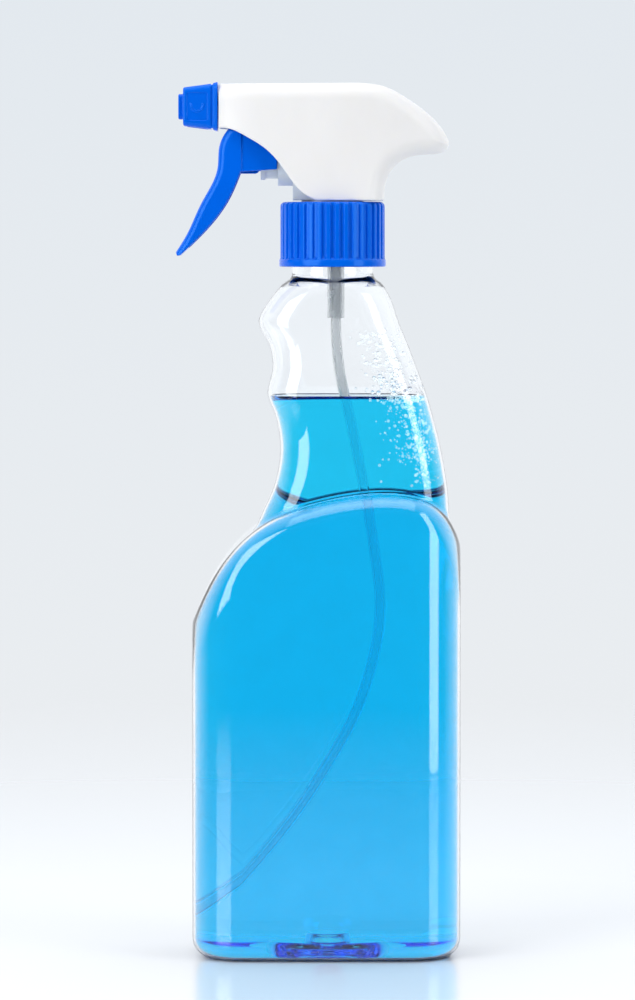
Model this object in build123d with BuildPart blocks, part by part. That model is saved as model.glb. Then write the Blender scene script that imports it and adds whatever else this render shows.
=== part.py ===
from build123d import *
import os
from math import cos, hypot, pi, radians, sin, tan

# A 500 ml trigger spray bottle, in millimetres.
# +Z is up, -X is the way it sprays, Y is its depth.
# The origin is on the floor, under the middle of the bottle's outline.

# Bottle
body_left = -38.8
body_right = 44.3
body_middle = (body_left + body_right) / 2
body_half_depth = 23.4
face_bow = 0.9
side_bow = 0.5
corner_radius = 15.0
heel_radius = 6.0
body_block_top = 150.0
wall = 0.8
ledge_radius = 7.0
shoulder_top = 209.9
punt_length = 59.0
punt_depth = 29.0
punt_height = 2.6
punt_middle = 3.2
punt_slope = 5.0
rim_rounding = 0.5

# Neck finish, 28 mm with a 6 turns per inch thread
neck_x = 4.65
neck_radius = 12.6
neck_bore_radius = 10.85
rim_height = 229.4
thread_pitch = 25.4 / 6
neck_thread_start = 218.5
neck_thread_turns = 1.25
neck_thread_radius = 13.75
neck_ridge_halves = (1.05, 0.45)
collar_thread_turns = 1.0
collar_thread_radius = 13.0
collar_ridge_halves = (0.9, 0.4)
collar_thread_phase = 90.0

# Liquid
liquid_level = 172.5
liquid_gap = 0.05

# Inlet: retainer, ball and dip tube
inlet_x = 5.7
tube_radius = 1.6
tube_bore_radius = 1.05
tube_top = 216.9
retainer_bottom = 197.6
retainer_top = 222.0
retainer_stem_radius = 2.6
retainer_head_radius = 3.28
retainer_flange_radius = 5.0
retainer_flange_bottom = 213.6
retainer_flange_top = 214.4
socket_bore_radius = 3.3
socket_bottom = 214.5
seat_radius = 1.1
ball_radius = 1.6
ball_height = 223.25
ball_chamber_top = 226.6
ball_chamber_radius = 2.3

# Collar and gasket
collar_radius = 16.5
collar_bottom = 213.4
collar_top = 233.4
collar_rib_bottom = 216.2
collar_rib_top = 232.5
collar_inner_radius = 14.3
collar_hole_radius = 10.3
collar_lip = 1.4
collar_ribs = 36
rib_groove_radius = 0.7
rib_groove_shift = 0.15
collar_top_rounding = 1.5
collar_foot_rounding = 0.5
gasket_thickness = 1.2
flange_radius = 13.4
flange_thickness = 1.3

# Pump housing
socket_radius = 5.2
plug_top = 231.0
plug_bottom = 226.0
plug_radius = 10.2
plug_hollow_top = 230.0
plug_hollow_radius = 8.8
turret_radius = 9.6
foot_bottom = 234.0
foot_top = 238.5
foot_front = -7.6
foot_back = 18.9
foot_half_width = 8.5
web_half_width = 4.0
riser_front = 2.4
riser_back = 9.0
riser_half_width = 3.6
cylinder_height = 245.4
cylinder_radius = 7.0
cylinder_bore = 5.8
cylinder_front = -12.2
cylinder_back = 9.4
bore_back = 7.6
outlet_height = 262.7
outlet_radius = 3.2
passage_radius = 1.2
boss_radius = 4.2
boss_front = -38.5
boss_back = -29.0
valve_chamber_radius = 2.3
valve_seat_x = -26.0
valve_head_radius = 1.95
valve_length = 2.3
valve_stem_radius = 0.9
valve_stem_length = 1.2
plug_bar_from = 6.9
plug_bar_to = 9.2
plug_cap_from = 9.05
plug_cap_to = 10.3
plug_cap_radius = 2.4
core_back = -33.0
core_slot = 0.8
nozzle_groove = (-37.0, -35.6)
nozzle_groove_radius = 3.5

# Trigger
pivot_x = -23.0
pivot_z = 258.5
pin_radius = 1.6
pin_clearance = 0.08
cheek_inside = 7.3
cheek_outside = 8.3
pin_inside = 5.4
ear_outside = 7.0
ear_inside = 4.4
ear_radius = 3.6
ear_front = pivot_x - 2.6
ear_back = pivot_x + ear_radius
bridge_bottom = 261.7
bridge_top = 264.5
ear_room_radius = 4.6
pusher_x = -19.35
pusher_z = 243.6
pusher_radius = 1.5
pusher_half_width = 2.6

# Piston, between the cylinder's mouth and its blind end
piston_head_x = -17.5
piston_head_radius = 5.2
piston_body_radius = 4.8
piston_back = -3.4
piston_hollow_radius = 3.4
piston_hollow_front = -14.2
piston_head_thickness = 1.4
seal_radius = 5.75
seal_gap = 0.05
seal_chamfer = 0.4
seal_groove_radius = 4.2
return_coil_radius = 2.75
return_wire_radius = 0.4
return_turns = 9
valve_coil_radius = 1.5
valve_wire_radius = 0.2
valve_turns = 5

# Shroud and nozzle
shroud_front = -30.4
shroud_top = 270.0
shroud_wall = 1.2
cap_back = -30.7
cap_flange_front = -32.1
cap_front = -41.4
cap_flange_size = 15.2
cap_size_back = 14.2
cap_size_front = 11.8
cap_boss_size = 7.9
cap_boss_front = -42.9
cap_bore_radius = 4.25
cap_corner = 2.0
cap_boss_corner = 1.6
orifice_radius = 0.4
orifice_cup_radius = 1.5
orifice_cup_depth = 1.2

os.makedirs("parts", exist_ok=True)


def save(piece, name):
    """Label a finished piece and write its STEP file."""
    piece.label = name
    export_step(piece, f"parts/{name}.step")


def ring_x(x_from, x_to, outer, inner, z):
    """A ring about an X axis at height z, through the mid-plane."""
    with BuildPart() as ring:
        with BuildSketch(Plane.YZ.offset(x_from)):
            with Locations((0, z)):
                Circle(outer)
                Circle(inner, mode=Mode.SUBTRACT)
        extrude(amount=x_to - x_from)
    return ring.part


def coil_x(x_from, x_to, z, mean_radius, wire_radius, turns):
    """A compression spring about an X axis at height z."""
    length = x_to - x_from - 2 * wire_radius
    with BuildPart() as coil:
        with BuildLine() as wire:
            Helix(length / turns, length, mean_radius,
                  center=(x_from + wire_radius, 0, z), direction=(1, 0, 0))
        with BuildSketch(Plane(origin=wire.line @ 0, z_dir=wire.line % 0)):
            Circle(wire_radius)
        sweep(path=wire.line, is_frenet=True)
    return coil.part


def thread_ridge(root_radius, crest_radius, root_half, crest_half, start, turns, phase):
    """A trapezoid ridge along a right-hand helix about the neck's axis."""
    bury = 0.25 if crest_radius > root_radius else -0.25
    with BuildPart() as ridge:
        with BuildLine() as path:
            Helix(thread_pitch, thread_pitch * turns, root_radius)
        section = Plane(origin=path.line @ 0, x_dir=(1, 0, 0), z_dir=path.line % 0)
        with BuildSketch(section):
            with BuildLine():
                Polyline(
                    (-bury, -root_half),
                    (crest_radius - root_radius, -crest_half),
                    (crest_radius - root_radius, crest_half),
                    (-bury, root_half),
                    close=True,
                )
            make_face()
        sweep(path=path.line, is_frenet=True)
    return Pos(neck_x, 0, start) * Rot(0, 0, phase) * ridge.part


# --- Bottle --------------------------------------------------------------------
# Rows of the grip: height, left edge, right edge, half depth, corner radius.
# Two finger rests swell on the left, and the right edge leans in to the neck.
grip_rows = [
    (124.0, -19.5, 41.2, 16.9, 12.0),
    (131.0, -19.3, 41.0, 16.9, 12.0),
    (137.0, -17.4, 40.7, 16.9, 12.0),
    (144.0, -14.2, 40.3, 16.9, 12.0),
    (151.0, -12.2, 39.3, 16.9, 12.0),
    (157.5, -11.5, 38.1, 16.9, 12.0),
    (165.0, -12.4, 36.3, 16.8, 12.0),
    (170.0, -13.9, 34.9, 16.7, 12.0),
    (174.3, -15.4, 33.6, 16.6, 12.0),
    (178.5, -14.7, 32.1, 16.5, 12.0),
    (182.5, -13.9, 30.6, 16.4, 12.0),
    (187.0, -14.3, 28.9, 16.2, 12.0),
    (191.5, -15.9, 27.1, 16.0, 12.0),
    (196.4, -18.2, 25.1, 15.7, 12.1),
    (200.5, -16.6, 23.8, 15.3, 12.2),
    (205.5, -13.1, 21.7, 14.8, 12.5),
    (shoulder_top, -9.2, 19.0, 13.6, 12.9),
]


# The arch that ends the lower body, from its left side over the top to its right.
arch_points = [
    (-42.5, 94.0), (-38.5, 104.2), (-29.1, 122.5), (-17.0, 134.2), (4.0, 142.0),
    (22.0, 143.9), (36.0, 140.2), (42.6, 131.8), (46.0, 116.0),
]


def body_block(inset):
    """The rectangular lower body with its rounded heel."""
    half_length = (body_right - body_left) / 2 - inset
    half_depth = body_half_depth - inset
    side = half_length - side_bow
    face = half_depth - face_bow
    with BuildPart() as block:
        with BuildSketch(Plane((body_middle, 0, inset))):
            with BuildLine():
                ThreePointArc((-side, -face), (0, -half_depth), (side, -face))
                ThreePointArc((side, -face), (half_length, 0), (side, face))
                ThreePointArc((side, face), (0, half_depth), (-side, face))
                ThreePointArc((-side, face), (-half_length, 0), (-side, -face))
            made = make_face()
            fillet(made.vertices(), corner_radius - inset)
        extrude(amount=body_block_top - inset)
        fillet(block.edges().group_by(Axis.Z)[0], heel_radius - inset)
    return block.part


def moved_inward(points, inset):
    """An outline's points, each moved square to the outline towards its inside."""
    moved = []
    for index, (x, z) in enumerate(points):
        before = points[max(index - 1, 0)]
        after = points[min(index + 1, len(points) - 1)]
        run_x = after[0] - before[0]
        run_z = after[1] - before[1]
        run = hypot(run_x, run_z)
        moved.append((x + inset * run_z / run, z - inset * run_x / run))
    return moved


def arch_block(inset):
    """What lies under the arch, with its front and back edges rounded over."""
    outline = moved_inward(arch_points, inset)
    with BuildPart() as block:
        with BuildSketch(Plane.XZ):
            with BuildLine():
                top = Spline(*outline)
                Polyline(top @ 1, (outline[-1][0], -6.0), (outline[0][0], -6.0), top @ 0)
            make_face()
        extrude(amount=body_half_depth - inset, both=True)
        ends = block.faces().filter_by(Axis.Y).edges()
        fillet(ends, ledge_radius - inset)
    return block.part


def grip_loft(inset):
    """The waisted grip, from inside the lower body to the shoulder."""
    with BuildPart() as grip:
        for height, left, right, half_depth, radius in grip_rows:
            level = min(height, shoulder_top - inset)
            with BuildSketch(Plane(((left + right) / 2, 0, level))):
                RectangleRounded(right - left - 2 * inset, 2 * (half_depth - inset),
                                 radius - inset)
        loft()
    return grip.part


def bottle_form(inset):
    """The bottle's outer form below the neck, or its hollow for a given inset."""
    with BuildPart() as form:
        add(body_block(inset))
        add(arch_block(inset), mode=Mode.INTERSECT)
        add(grip_loft(inset))
        add(punt(inset), mode=Mode.SUBTRACT)
    return form.part


def punt(inset):
    """The raised oval in the middle of the base."""
    with BuildPart() as rise:
        for height, grow in ((-1.0, 0.0), (punt_height, -punt_slope)):
            level = height + (inset if grow else 0)
            with BuildSketch(Plane((punt_middle, 0, level))):
                Ellipse(punt_length / 2 + grow + inset, punt_depth / 2 + grow + inset)
        loft(ruled=True)
    return rise.part


with BuildPart() as bottle:
    add(bottle_form(0))
    with BuildSketch(Plane.XY.offset(shoulder_top - 1)):
        with Locations((neck_x, 0)):
            Circle(neck_radius)
    extrude(amount=rim_height - shoulder_top + 1)
    fillet(bottle.edges().group_by(Axis.Z)[-1], rim_rounding)
    add(thread_ridge(neck_radius, neck_thread_radius, *neck_ridge_halves,
                     neck_thread_start, neck_thread_turns, 0))
    add(bottle_form(wall), mode=Mode.SUBTRACT)
    bore_start = shoulder_top - wall - 4
    with BuildSketch(Plane.XY.offset(bore_start)):
        with Locations((neck_x, 0)):
            Circle(neck_bore_radius)
    extrude(amount=rim_height + 1 - bore_start, mode=Mode.SUBTRACT)
save(bottle.part, "bottle")


# --- Dip tube and liquid ---------------------------------------------------------
# The tube leaves the retainer straight, bows to the right and sweeps into the
# lower left corner, where the last of the liquid gathers.
tube_route = [
    (inlet_x, tube_top), (inlet_x, 185.0), (11.4, 161.0), (16.4, 134.0), (20.4, 105.5),
    (13.4, 77.0), (-6.2, 44.0), (-34.6, 10.9),
]


def route_radii(points):
    """A radius for each corner, as large as its two runs allow."""
    radii = []
    for before, corner, after in zip(points, points[1:], points[2:]):
        run_in = Vector(corner[0] - before[0], corner[1] - before[1])
        run_out = Vector(after[0] - corner[0], after[1] - corner[1])
        turn = radians(run_in.get_angle(run_out))
        shorter = min(run_in.length, run_out.length)
        radii.append(0.45 * shorter / tan(turn / 2))
    return radii


def tube_solid(outer, inner=0.0):
    """A round tube along the dip tube's route."""
    radii = route_radii(tube_route)
    with BuildPart() as tube:
        with BuildLine(Plane.XZ) as route:
            FilletPolyline(*tube_route, radius=radii)
        path = route.wires()[0]
        with BuildSketch(Plane(origin=path @ 0, z_dir=path % 0)):
            Circle(outer)
            if inner:
                Circle(inner, mode=Mode.SUBTRACT)
        sweep(path=path)
    return tube.part, path.length


dip_tube, tube_length = tube_solid(tube_radius, tube_bore_radius)
print("dip tube radii", [round(radius) for radius in route_radii(tube_route)])
tube_section = pi * (tube_radius ** 2 - tube_bore_radius ** 2)
print("dip tube volume", dip_tube.volume, "section times length", tube_section * tube_length)
save(dip_tube, "dip_tube")

tube_channel, _ = tube_solid(tube_radius + liquid_gap)
with BuildPart() as cleaning_liquid:
    add(bottle_form(wall + liquid_gap))
    split(bisect_by=Plane.XY.offset(liquid_level), keep=Keep.BOTTOM)
    add(tube_channel, mode=Mode.SUBTRACT)
save(cleaning_liquid.part, "cleaning_liquid")


# --- Inlet ----------------------------------------------------------------------
retainer_profile = [
    (tube_radius + 0.02, retainer_bottom),
    (retainer_stem_radius, retainer_bottom),
    (retainer_stem_radius, retainer_flange_bottom),
    (retainer_flange_radius, retainer_flange_bottom),
    (retainer_flange_radius, retainer_flange_top),
    (retainer_head_radius, retainer_flange_top),
    (retainer_head_radius, retainer_top),
    (seat_radius, retainer_top),
    (seat_radius, tube_top + 0.1),
    (tube_radius + 0.02, tube_top + 0.1),
]
with BuildPart() as tube_retainer:
    with BuildSketch(Plane((inlet_x, 0, 0), x_dir=(1, 0, 0), z_dir=(0, -1, 0))):
        with BuildLine():
            Polyline(*retainer_profile, close=True)
        make_face()
    revolve(axis=Axis((inlet_x, 0, 0), (0, 0, 1)))
save(tube_retainer.part, "tube_retainer")

with BuildPart() as inlet_ball:
    with Locations((inlet_x, 0, ball_height)):
        Sphere(ball_radius)
save(inlet_ball.part, "inlet_ball")


# --- Gasket and collar -----------------------------------------------------------
flange_bottom = rim_height + gasket_thickness
with BuildPart() as neck_gasket:
    with BuildSketch(Plane.XY.offset(rim_height)):
        with Locations((neck_x, 0)):
            Circle(flange_radius)
            Circle(neck_bore_radius - 0.6, mode=Mode.SUBTRACT)
    extrude(amount=gasket_thickness)
save(neck_gasket.part, "neck_gasket")

collar_plane = Plane((neck_x, 0, collar_bottom))
with BuildPart() as screw_collar:
    with BuildSketch(collar_plane):
        Circle(collar_radius)
    extrude(amount=collar_top - collar_bottom)
    fillet(screw_collar.edges().group_by(Axis.Z)[-1], collar_top_rounding)
    fillet(screw_collar.edges().group_by(Axis.Z)[0], collar_foot_rounding)
    with BuildSketch(Plane((neck_x, 0, collar_rib_bottom))):
        with PolarLocations(collar_radius + rib_groove_shift, collar_ribs):
            Circle(rib_groove_radius)
    extrude(amount=collar_rib_top - collar_rib_bottom, mode=Mode.SUBTRACT)
    with BuildSketch(collar_plane):
        Circle(collar_inner_radius)
    extrude(amount=collar_top - collar_bottom - collar_lip, mode=Mode.SUBTRACT)
    with BuildSketch(collar_plane):
        Circle(collar_hole_radius)
    extrude(amount=collar_top - collar_bottom, mode=Mode.SUBTRACT)
    collar_thread_start = neck_thread_start + thread_pitch * (collar_thread_phase / 360 - 0.5)
    add(thread_ridge(collar_inner_radius, collar_thread_radius, *collar_ridge_halves,
                     collar_thread_start, collar_thread_turns, collar_thread_phase))
save(screw_collar.part, "screw_collar")


# --- Pump housing ----------------------------------------------------------------
def box_between(low, high, mode=Mode.ADD):
    """A box from one corner to the opposite one."""
    size = [b - a for a, b in zip(low, high)]
    middle = [(a + b) / 2 for a, b in zip(low, high)]
    with Locations(tuple(middle)):
        Box(*size, mode=mode)


def bar_x(x_from, x_to, radius, z, mode=Mode.ADD):
    """A round bar, or bore, along X through the mid-plane."""
    with Locations(Location(((x_from + x_to) / 2, 0, z), (0, 90, 0))):
        Cylinder(radius, x_to - x_from, mode=mode)


def post_z(x, z_from, z_to, radius, mode=Mode.ADD):
    """A round post, or bore, along Z."""
    with Locations((x, 0, (z_from + z_to) / 2)):
        Cylinder(radius, z_to - z_from, mode=mode)


def pin_y(x, z, y_from, y_to, radius, mode=Mode.ADD):
    """A round pin, or hole, along Y."""
    with Locations(Location((x, (y_from + y_to) / 2, z), (90, 0, 0))):
        Cylinder(radius, y_to - y_from, mode=mode)


with BuildPart() as pump_housing:
    # The neck plug is hollowed before the inlet socket goes through it.
    post_z(neck_x, flange_bottom, flange_bottom + flange_thickness, flange_radius)
    post_z(neck_x, plug_bottom, plug_top, plug_radius)
    post_z(neck_x, plug_bottom, plug_hollow_top, plug_hollow_radius, mode=Mode.SUBTRACT)
    post_z(inlet_x, socket_bottom, foot_bottom, socket_radius)
    post_z(neck_x, plug_top, foot_bottom + 0.6, turret_radius)
    box_between((foot_front, -foot_half_width, foot_bottom), (foot_back, foot_half_width, foot_top))
    box_between((foot_front, -web_half_width, foot_top - 1),
                (cylinder_back, web_half_width, cylinder_height))
    bar_x(cylinder_front, cylinder_back, cylinder_radius, cylinder_height)
    box_between((riser_front, -riser_half_width, cylinder_height),
                (riser_back, riser_half_width, outlet_height + outlet_radius))
    bar_x(boss_back, riser_back, outlet_radius, outlet_height)
    bar_x(boss_front, boss_back + 2, boss_radius, outlet_height)
    for side in (-1, 1):
        low_y, high_y = sorted((side * ear_inside, side * ear_outside))
        pin_y(pivot_x, pivot_z, low_y, high_y, ear_radius)
        box_between((ear_front, low_y, pivot_z), (ear_back, high_y, bridge_top))
    box_between((ear_front, -ear_outside, bridge_bottom), (ear_back, ear_outside, bridge_top))
    bar_x(cylinder_front, bore_back, cylinder_bore, cylinder_height, mode=Mode.SUBTRACT)
    post_z(inlet_x, socket_bottom, retainer_top, socket_bore_radius, mode=Mode.SUBTRACT)
    post_z(inlet_x, retainer_top, ball_chamber_top, ball_chamber_radius, mode=Mode.SUBTRACT)
    post_z(inlet_x, ball_chamber_top, cylinder_height - 5, passage_radius, mode=Mode.SUBTRACT)
    post_z(inlet_x, cylinder_height + 5, outlet_height, passage_radius, mode=Mode.SUBTRACT)
    bar_x(valve_seat_x, riser_back, passage_radius, outlet_height, mode=Mode.SUBTRACT)
    bar_x(boss_front, valve_seat_x, valve_chamber_radius, outlet_height, mode=Mode.SUBTRACT)
    add(ring_x(*nozzle_groove, boss_radius + 0.5, nozzle_groove_radius, outlet_height),
        mode=Mode.SUBTRACT)
    for side in (-1, 1):
        low_y, high_y = sorted((side * (pin_inside - 0.3), side * (ear_outside + 1)))
        pin_y(pivot_x, pivot_z, low_y, high_y, pin_radius + pin_clearance, mode=Mode.SUBTRACT)
save(pump_housing.part, "pump_housing")

with BuildPart() as channel_plug:
    bar_x(plug_bar_from, plug_bar_to, passage_radius - 0.01, outlet_height)
    bar_x(plug_cap_from, plug_cap_to, plug_cap_radius, outlet_height)
save(channel_plug.part, "channel_plug")


# --- Piston, its seals and the return spring ---------------------------------------
seal_lands = {"piston_front_seal": (-10.2, -8.4), "piston_rear_seal": (-6.4, -4.6)}
with BuildPart() as piston:
    bar_x(piston_head_x, piston_head_x + piston_head_thickness, piston_head_radius, cylinder_height)
    bar_x(piston_head_x, piston_back, piston_body_radius, cylinder_height)
    bar_x(piston_hollow_front, piston_back, piston_hollow_radius, cylinder_height,
          mode=Mode.SUBTRACT)
    for seal_from, seal_to in seal_lands.values():
        add(ring_x(seal_from, seal_to, piston_body_radius + 1, seal_groove_radius, cylinder_height),
            mode=Mode.SUBTRACT)
save(piston.part, "piston")

for seal_name, (seal_from, seal_to) in seal_lands.items():
    with BuildPart() as seal:
        add(ring_x(seal_from + seal_gap, seal_to - seal_gap, seal_radius,
                   seal_groove_radius + 0.02, cylinder_height))
        chamfer(seal.edges().filter_by(GeomType.CIRCLE).group_by(Edge.length)[-1], seal_chamfer)
    save(seal.part, seal_name)

return_spring = coil_x(piston_hollow_front + seal_gap, bore_back - seal_gap, cylinder_height,
                       return_coil_radius, return_wire_radius, return_turns)
save(return_spring, "return_spring")


# --- Outlet valve, its spring, the swirl core and the nozzle ------------------------
with BuildPart() as outlet_valve:
    valve_front = valve_seat_x - 0.1 - valve_length
    bar_x(valve_front, valve_seat_x - 0.1, valve_head_radius, outlet_height)
    bar_x(valve_front - valve_stem_length, valve_front, valve_stem_radius, outlet_height)
    fillet(outlet_valve.edges().sort_by(Axis.X)[-1], 0.5)
save(outlet_valve.part, "outlet_valve")

valve_spring = coil_x(core_back + 0.1, valve_front - 0.1, outlet_height, valve_coil_radius,
                      valve_wire_radius, valve_turns)
save(valve_spring, "outlet_valve_spring")

with BuildPart() as swirl_core:
    bar_x(boss_front + 0.2, core_back, valve_chamber_radius - 0.02, outlet_height)
    slot_radius = valve_chamber_radius - 0.2
    for quarter in range(4):
        angle = radians(90 * quarter)
        slot_y = slot_radius * cos(angle)
        slot_z = outlet_height + slot_radius * sin(angle)
        with Locations(((boss_front + core_back) / 2, slot_y, slot_z)):
            Box(8, core_slot, core_slot, mode=Mode.SUBTRACT)
save(swirl_core.part, "swirl_core")

with BuildPart() as nozzle_seal:
    add(ring_x(nozzle_groove[0] + 0.05, nozzle_groove[1] - 0.05, boss_radius,
               nozzle_groove_radius + 0.02, outlet_height))
save(nozzle_seal.part, "nozzle_seal")

with BuildPart() as nozzle_cap:
    cap_rows = (
        ((cap_back, cap_flange_size), (cap_flange_front, cap_size_back + 0.2)),
        ((cap_flange_front, cap_size_back), (cap_front, cap_size_front)),
    )
    for ends in cap_rows:
        for x, size in ends:
            with BuildSketch(Plane.YZ.offset(x)):
                with Locations((0, outlet_height)):
                    RectangleRounded(size, size, cap_corner)
        loft()
    with BuildSketch(Plane.YZ.offset(cap_boss_front)):
        with Locations((0, outlet_height)):
            RectangleRounded(cap_boss_size, cap_boss_size, cap_boss_corner)
    extrude(amount=cap_front - cap_boss_front)
    bar_x(boss_front - 0.3, cap_back, cap_bore_radius, outlet_height, mode=Mode.SUBTRACT)
    bar_x(cap_boss_front, boss_front, orifice_radius, outlet_height, mode=Mode.SUBTRACT)
    bar_x(cap_boss_front, cap_boss_front + orifice_cup_depth, orifice_cup_radius, outlet_height,
          mode=Mode.SUBTRACT)
save(nozzle_cap.part, "nozzle_cap")


# --- Trigger -----------------------------------------------------------------------
lever_front = [
    (-25.2, 258.2), (-28.2, 254.8), (-30.1, 251.0), (-30.8, 243.8), (-35.8, 233.0),
    (-40.2, 223.6), (-43.9, 218.0),
]
lever_tip = (-43.2, 216.7)
lever_back = [
    (-41.4, 217.7), (-33.7, 225.4), (-27.3, 234.2), (-23.6, 242.6),
]
cheek_back = [(-12.4, 243.4), (-12.4, 247.0), (-17.0, 252.6), (-20.4, 258.5)]
front_wall = 1.7
# How far the lever's outline is shifted for each cut that hollows it.
hollow_steps = ((front_wall + 0.4, 0.9), (front_wall + 4.0, 2.0), (front_wall + 8.0, 3.0))


def lever_outline():
    """The trigger seen from the side, from the pivot down to the finger tip."""
    with BuildSketch(Plane.XZ) as face:
        with BuildLine():
            front = Spline(*lever_front)
            ThreePointArc(front @ 1, lever_tip, lever_back[0])
            back = Spline(*lever_back)
            top = Polyline(back @ 1, *cheek_back)
            ThreePointArc(top @ 1, (pivot_x, pivot_z + 3.2), lever_front[0])
        make_face()
    return face.sketch


lever_face = lever_outline()
with BuildPart() as trigger:
    extrude(lever_face, amount=cheek_outside, both=True)
    for step_x, step_z in hollow_steps:
        channel = Pos(step_x, 0, step_z) * lever_face
        extrude(channel, amount=cheek_inside, both=True, mode=Mode.SUBTRACT)
    # Between the cheeks, room for the piston, the cylinder and the pivot's ears.
    box_between((-23.5, -cheek_inside, 238.0), (-12.0, cheek_inside, 263.0), mode=Mode.SUBTRACT)
    box_between((-28.0, -cheek_inside, 256.5), (-12.0, cheek_inside, 263.0), mode=Mode.SUBTRACT)
    pin_y(pivot_x, pivot_z, -cheek_inside, cheek_inside, ear_room_radius, mode=Mode.SUBTRACT)
    box_between((-29.6, -pusher_half_width, pusher_z - pusher_radius),
                (pusher_x, pusher_half_width, pusher_z + pusher_radius))
    pin_y(pusher_x, pusher_z, -pusher_half_width, pusher_half_width, pusher_radius)
    for side in (-1, 1):
        low_y, high_y = sorted((side * pin_inside, side * (cheek_inside + 0.1)))
        pin_y(pivot_x, pivot_z, low_y, high_y, pin_radius)
save(trigger.part, "trigger")


# --- Shroud --------------------------------------------------------------------------
# The outlines are drawn for the outer surface. For the hollow they move in by the
# wall, and run out through the nozzle end and the open underside.
foot_level = foot_bottom - 0.25


def shroud_side(inset, drop):
    """The shroud seen from the side. drop moves the open edges outwards."""
    with BuildSketch(Plane.XZ) as face:
        with BuildLine():
            top = Polyline((shroud_front - drop, shroud_top - 0.2 - inset),
                           (12.5, shroud_top - inset))
            crown = Spline(top @ 1, (27.7 - inset / 2, 265.2 - inset),
                           (37.0 - inset, 257.8 - inset), (41.4 - inset, 251.6),
                           tangents=((1, 0), (0.25, -1)))
            beak = Spline(crown @ 1, (40.6 - inset, 249.8 + inset), (30.8, 247.9 + inset),
                          (23.4 - inset / 2, 244.4 + inset), (20.8 - inset, 237.6),
                          tangents=((-0.25, -1), (-0.1, -1)))
            foot = Polyline(beak @ 1, (20.6 - inset, foot_level - drop),
                            (-0.4 - drop, foot_level - drop))
            front = Spline(foot @ 1, (-3.4 - drop, 235.3 - drop), (-12.1 - drop, 245.7 - drop),
                           (-16.3 - drop, 249.9 - drop), (-21.9 - drop, 253.4 - drop),
                           (-27.2 - drop, 255.8 - drop))
            Polyline(front @ 1, (shroud_front - drop, 256.1 - drop), top @ 0)
        make_face()
    return face.sketch


def shroud_plan(inset, drop):
    """The shroud seen from above: slim at the nozzle, full over the neck."""
    half_widths = [(-28.0, 9.4), (-25.5, 10.3), (-14.0, 11.8), (2.0, 12.5), (18.0, 12.0),
                   (32.0, 9.2)]
    with BuildSketch(Plane.XY.offset(225)) as face:
        with BuildLine():
            rows = [(x, half - inset) for x, half in half_widths]
            start = (shroud_front - drop, 7.9 - inset - drop / 4)
            end = (42.0 - inset, 5.2 - inset)
            near = Spline(start, *rows, end)
            far = Spline(*[(x, -y) for x, y in (start, *rows, end)])
            Line(near @ 0, far @ 0)
            ThreePointArc(near @ 1, (43.0 - inset, 0), far @ 1)
        make_face()
    return face.sketch


def shroud_form(inset, drop):
    """The shroud as a solid block, or its hollow."""
    with BuildPart() as form:
        extrude(shroud_side(inset, drop), amount=14, both=True)
        extrude(shroud_plan(inset, drop), amount=50, mode=Mode.INTERSECT)
    return form.part


with BuildPart() as shroud:
    add(shroud_form(0, 0))
    add(shroud_form(shroud_wall, 4.0), mode=Mode.SUBTRACT)
save(shroud.part, "shroud")
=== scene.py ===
import math

import bmesh
import bpy
import numpy as np
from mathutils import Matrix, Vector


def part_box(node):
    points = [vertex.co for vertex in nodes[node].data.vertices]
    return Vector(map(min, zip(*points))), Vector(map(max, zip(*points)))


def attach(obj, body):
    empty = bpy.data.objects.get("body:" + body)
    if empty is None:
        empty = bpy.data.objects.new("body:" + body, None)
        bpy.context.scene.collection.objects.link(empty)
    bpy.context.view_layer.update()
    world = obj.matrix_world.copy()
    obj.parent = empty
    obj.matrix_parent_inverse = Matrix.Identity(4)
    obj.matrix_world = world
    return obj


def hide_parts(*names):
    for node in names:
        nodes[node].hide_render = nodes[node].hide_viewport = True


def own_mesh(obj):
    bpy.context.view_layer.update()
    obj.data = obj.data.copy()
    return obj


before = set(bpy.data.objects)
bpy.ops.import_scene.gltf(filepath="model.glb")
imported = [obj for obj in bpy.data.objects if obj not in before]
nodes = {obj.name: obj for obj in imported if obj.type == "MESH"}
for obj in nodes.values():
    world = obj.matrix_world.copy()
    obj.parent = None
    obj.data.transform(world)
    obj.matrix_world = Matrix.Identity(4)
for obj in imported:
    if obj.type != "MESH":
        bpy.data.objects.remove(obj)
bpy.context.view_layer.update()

import openvdb
from mathutils import Vector

MM = 0.001


def box_mm(node):
    """A CAD node's lowest and highest corners, in millimetres."""
    low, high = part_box(node)
    return [c / MM for c in low], [c / MM for c in high]


# --- Shape helpers -----------------------------------------------------------------


def smooth_through(knots, values, at):
    """A natural cubic curve through a few values, read at many places."""
    x = np.asarray(knots, float)
    y = np.asarray(values, float)
    step = np.diff(x)
    count = len(x)
    matrix = np.eye(count)
    right = np.zeros(count)
    for i in range(1, count - 1):
        matrix[i, i - 1 : i + 2] = step[i - 1], 2 * (step[i - 1] + step[i]), step[i]
        rise = (y[i + 1] - y[i]) / step[i] - (y[i] - y[i - 1]) / step[i - 1]
        right[i] = 6 * rise
    bend = np.linalg.solve(matrix, right)
    at = np.clip(np.asarray(at, float), x[0], x[-1])
    i = np.clip(np.searchsorted(x, at) - 1, 0, count - 2)
    h = step[i]
    a = (x[i + 1] - at) / h
    b = (at - x[i]) / h
    curve = (a**3 - a) * bend[i] + (b**3 - b) * bend[i + 1]
    return a * y[i] + b * y[i + 1] + curve * h**2 / 6


FINE_STEPS = 2000


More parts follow.
